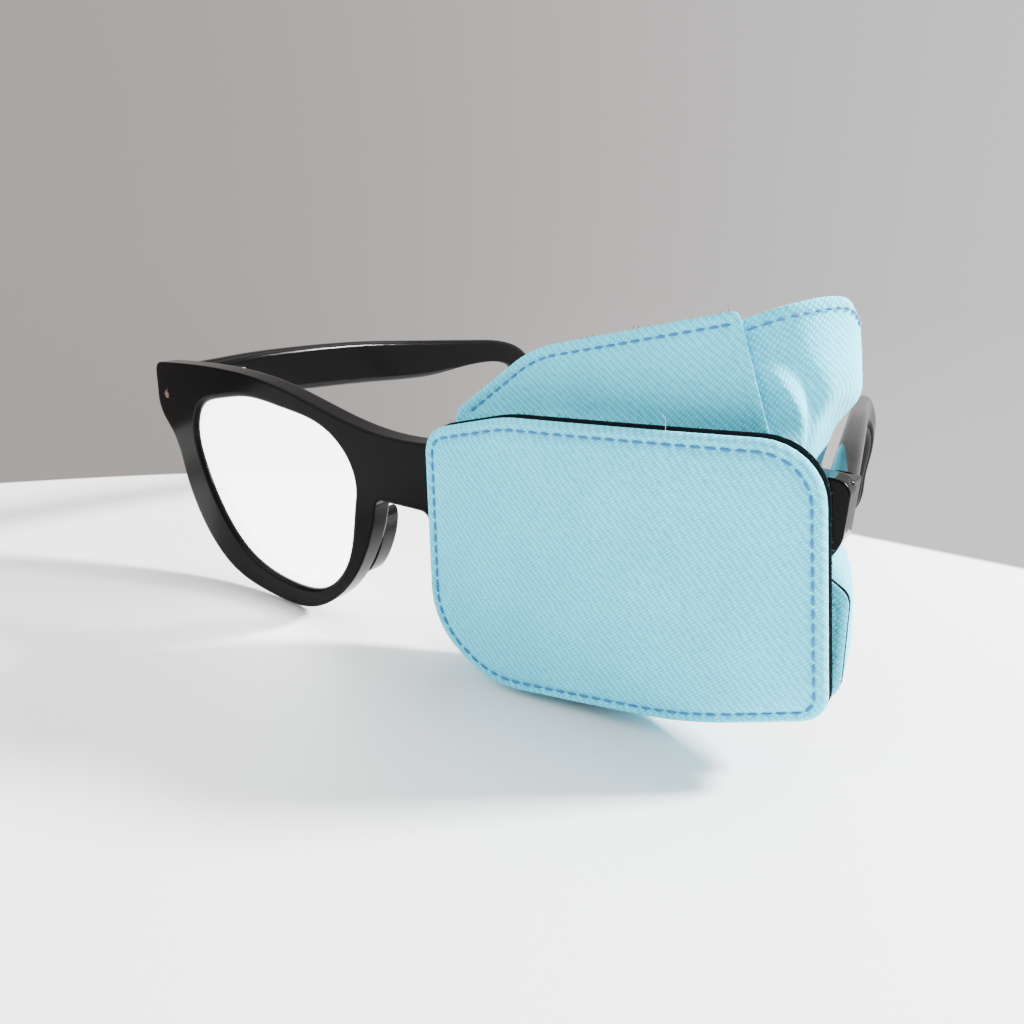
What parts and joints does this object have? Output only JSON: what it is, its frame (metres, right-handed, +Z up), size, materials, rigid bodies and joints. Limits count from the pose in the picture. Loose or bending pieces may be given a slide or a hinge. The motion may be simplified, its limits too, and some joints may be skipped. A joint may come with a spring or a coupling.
{
  "type": "eye patch",
  "caption": "Cloth pocket eye patch with felt lining, pleated back and side wing, worn over one lens of a pair of glasses.",
  "frame": {"origin": "on the table, under the middle of the glasses' bridge", "axes": "+X towards the wearer's left, where the patch is; -Y out of the front of the glasses; +Z up"},
  "size_m": [0.1492, 0.1599, 0.0696],
  "materials": {
    "patch_cloth": "fine twill",
    "interlining": "non-woven",
    "black_felt": "felt",
    "blue_thread": "twisted",
    "black_acetate": "polished",
    "pad_acetate": "polished",
    "clear_lens": "clear",
    "hinge_steel": "dull",
    "rivet_metal": "dull"
  },
  "bodies": {
    "patch": {"front_cover": "patch_cloth", "front_interlining": "interlining", "front_felt": "black_felt", "pocket_wall": "patch_cloth", "back_cover": "patch_cloth", "tuck_cloth": "patch_cloth", "back_felt": "black_felt", "front_topstitch": "blue_thread", "back_topstitch": "blue_thread"},
    "wing": {"wing_cover": "patch_cloth", "wing_felt": "black_felt", "wing_topstitch": "blue_thread"},
    "frame": {"frame_front": "black_acetate", "lens_right": "clear_lens", "lens_left": "clear_lens", "nose_pad_right": "pad_acetate", "nose_pad_left": "pad_acetate", "hinge_front_right": "hinge_steel", "hinge_front_left": "hinge_steel", "front_rivet_right": "rivet_metal", "front_rivet_left": "rivet_metal", "hinge_screw_right": "hinge_steel", "hinge_screw_left": "hinge_steel"},
    "temple_right": {"temple_right": "black_acetate", "hinge_temple_right": "hinge_steel", "temple_rivets_right": "rivet_metal"},
    "temple_left": {"temple_left": "black_acetate", "hinge_temple_left": "hinge_steel", "temple_rivets_left": "rivet_metal"}
  },
  "joints": [
    {"name": "lens_out_of_pocket", "type": "slide", "parent": "patch", "child": "frame", "axis": [0, -0.0724, 0.9974], "range_m": [0, 0.048]},
    {"name": "temple_left_fold", "type": "hinge", "parent": "frame", "child": "temple_left", "pos_m": [0.067, 0.01105, 0.0413], "axis": [0, 0, 1], "range_deg": [0, 81]},
    {"name": "temple_right_fold", "type": "hinge", "parent": "frame", "child": "temple_right", "pos_m": [-0.067, 0.01105, 0.0413], "axis": [0, 0, -1], "range_deg": [0, 56]},
    {"name": "wing_fold", "type": "hinge", "parent": "patch", "child": "wing", "pos_m": [0.0624, 0.0097, 0.045], "axis": [0, 0, 1], "range_deg": [0, 86]}
  ],
  "couplings": [
    {"joint": "wing_fold", "follows": "temple_left_fold", "ratio": 1.05}
  ]
}
